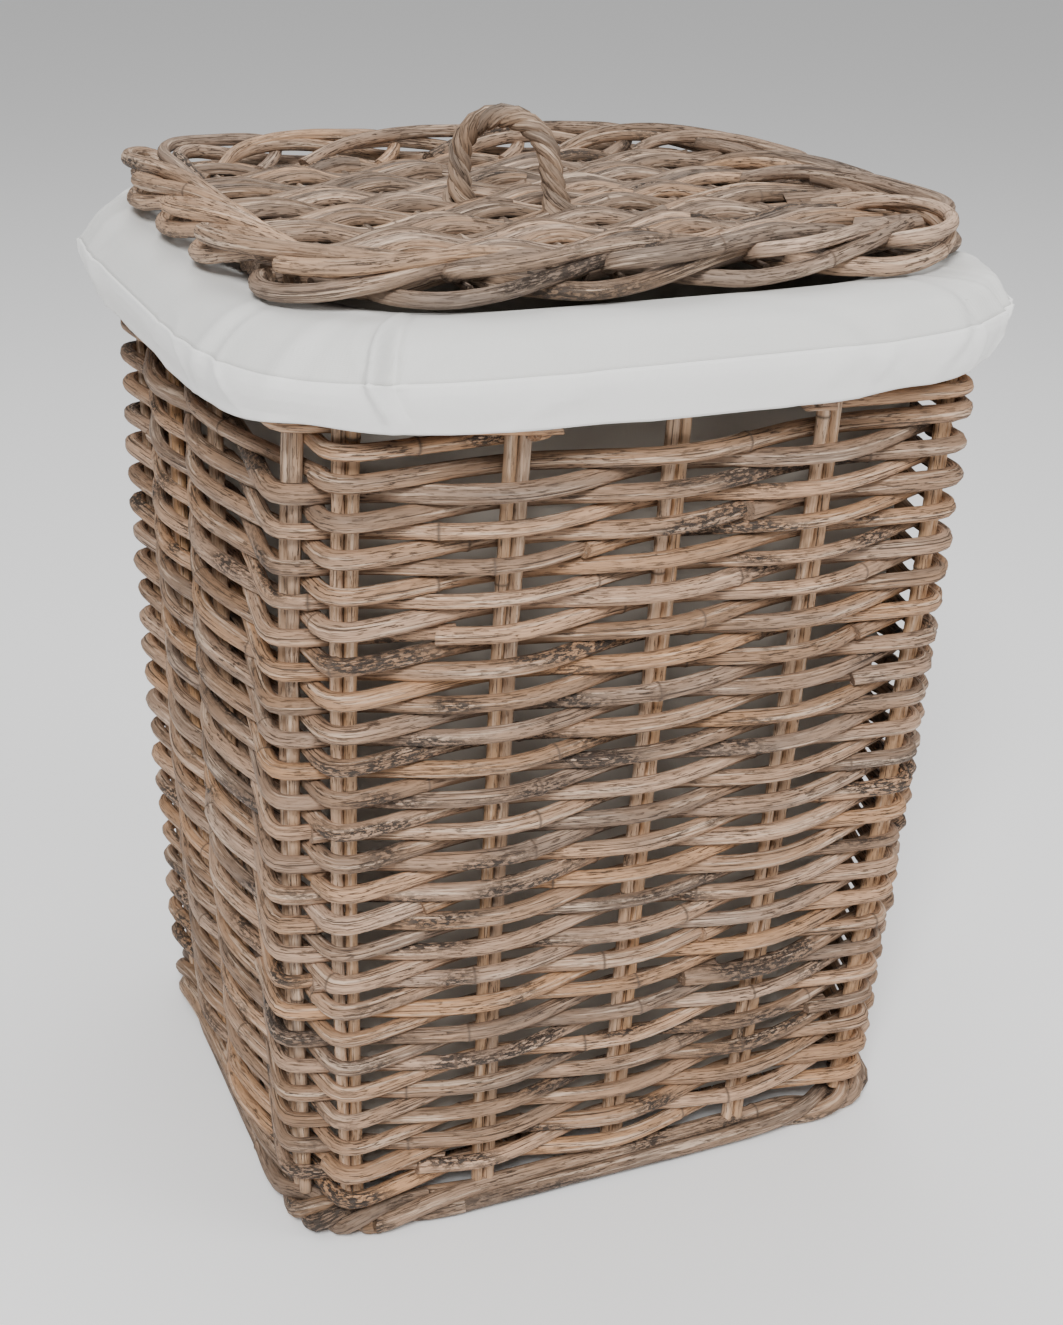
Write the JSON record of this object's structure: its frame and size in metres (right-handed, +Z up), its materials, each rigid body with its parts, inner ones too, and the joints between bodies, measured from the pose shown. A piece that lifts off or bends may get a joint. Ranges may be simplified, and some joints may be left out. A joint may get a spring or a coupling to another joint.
{
  "type": "laundry basket",
  "caption": "Tall tapered woven rattan laundry basket with hand slots, a lift-out cotton liner turned over the rim and a loose woven lid with a rope hoop handle.",
  "frame": {"origin": "middle of the footprint, on the floor", "axes": "+Z up, -Y out of the front with the hand slot in view, +X to the right of the front"},
  "size_m": [0.4488, 0.4856, 0.6147],
  "materials": {
    "stake_cane": "unvarnished round rattan sticks, golden grey-brown, matte",
    "weaver_cane": "weathered grey-brown kubu rattan with bark cracks, matte",
    "border_cane": "darker weathered rattan, plaited border, matte",
    "base_cane_finish": "rattan base weave, matte",
    "liner_cotton": "off-white plain-weave cotton",
    "hem_cotton": "off-white cotton, doubled hem",
    "lid_cane_finish": "weathered rattan lid weave, matte",
    "handle_cane": "twisted rattan core rope, matte"
  },
  "bodies": {
    "basket": {"front_stake_pair_1": "stake_cane", "front_stake_pair_2": "stake_cane", "front_stake_pair_3": "stake_cane", "front_stake_pair_4": "stake_cane", "front_stake_pair_5": "stake_cane", "right_stake_pair_1": "stake_cane", "right_stake_pair_2": "stake_cane", "right_stake_pair_3": "stake_cane", "right_stake_pair_4": "stake_cane", "back_stake_pair_1": "stake_cane", "back_stake_pair_2": "stake_cane", "back_stake_pair_3": "stake_cane", "back_stake_pair_4": "stake_cane", "back_stake_pair_5": "stake_cane", "left_stake_pair_1": "stake_cane", "left_stake_pair_2": "stake_cane", "left_stake_pair_3": "stake_cane", "left_stake_pair_4": "stake_cane", "weaver_a_cane_1": "weaver_cane", "weaver_a_cane_2": "weaver_cane", "weaver_a_cane_3": "weaver_cane", "weaver_a_cane_4": "weaver_cane", "weaver_a_cane_5": "weaver_cane", "weaver_a_cane_6": "weaver_cane", "weaver_b_cane_1": "weaver_cane", "weaver_b_cane_2": "weaver_cane", "weaver_b_cane_3": "weaver_cane", "weaver_b_cane_4": "weaver_cane", "weaver_b_cane_5": "weaver_cane", "weaver_b_cane_6": "weaver_cane", "slot_cane_left": "weaver_cane", "slot_cane_right": "weaver_cane", "foot_border": "border_cane", "rim_border": "border_cane", "base_stick_1": "base_cane_finish", "base_stick_2": "base_cane_finish", "base_stick_3": "base_cane_finish", "base_stick_4": "base_cane_finish", "base_stick_5": "base_cane_finish", "base_cane": "base_cane_finish"},
    "liner": {"liner_bag": "liner_cotton", "liner_hem": "hem_cotton"},
    "lid": {"lid_border": "lid_cane_finish", "lid_rib_1": "lid_cane_finish", "lid_rib_2": "lid_cane_finish", "lid_rib_3": "lid_cane_finish", "lid_rib_4": "lid_cane_finish", "lid_rib_5": "lid_cane_finish", "lid_rib_6": "lid_cane_finish", "lid_rib_7": "lid_cane_finish", "lid_rib_8": "lid_cane_finish", "lid_cane": "lid_cane_finish", "lid_handle": "handle_cane"}
  },
  "joints": [
    {"name": "liner_lift", "type": "slide", "parent": "basket", "child": "liner", "axis": [0, 0, 1], "range_m": [0, 0.56]},
    {"name": "lid_lift", "type": "slide", "parent": "liner", "child": "lid", "axis": [0, 0, 1], "range_m": [0, 0.3]}
  ]
}
